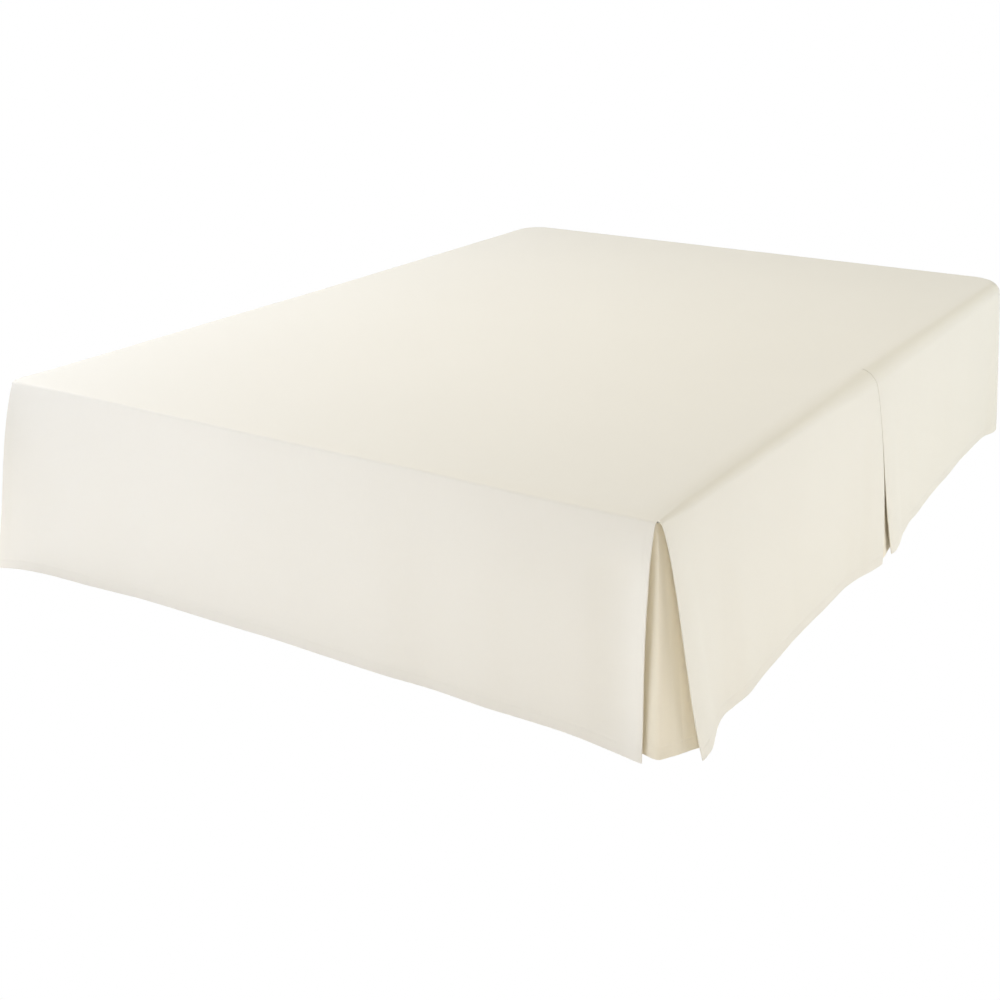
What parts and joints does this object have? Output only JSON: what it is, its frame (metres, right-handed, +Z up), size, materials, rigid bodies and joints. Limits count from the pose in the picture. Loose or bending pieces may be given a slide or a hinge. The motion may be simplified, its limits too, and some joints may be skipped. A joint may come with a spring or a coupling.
{
  "type": "bed skirt on a bed base",
  "caption": "Tailored cloth bed skirt with split corners and centre pleats, hanging from a flat deck over a plain box bed base on legs.",
  "frame": {"origin": "middle of the whole object's box, on the floor under the legs", "axes": "+Z up, +Y towards the head of the bed, +X towards the bed's right side when looking from the foot to the head"},
  "size_m": [1.5196, 1.9598, 0.387],
  "materials": {
    "ivory_cloth": "smooth matt ivory weave",
    "base_ticking": "plain off-white ticking",
    "leg_wood": "stained beech, satin"
  },
  "bodies": {
    "root": {"deck": "ivory_cloth", "foot_panel": "ivory_cloth", "side_panel_right_near": "ivory_cloth", "side_panel_right_far": "ivory_cloth", "side_panel_left_near": "ivory_cloth", "side_panel_left_far": "ivory_cloth", "corner_underlay_right": "ivory_cloth", "corner_underlay_left": "ivory_cloth", "centre_underlay_right": "ivory_cloth", "centre_underlay_left": "ivory_cloth", "bed_base": "base_ticking", "leg_foot_right": "leg_wood", "leg_foot_left": "leg_wood", "leg_middle_right": "leg_wood", "leg_middle_left": "leg_wood", "leg_head_right": "leg_wood", "leg_head_left": "leg_wood"}
  },
  "joints": []
}
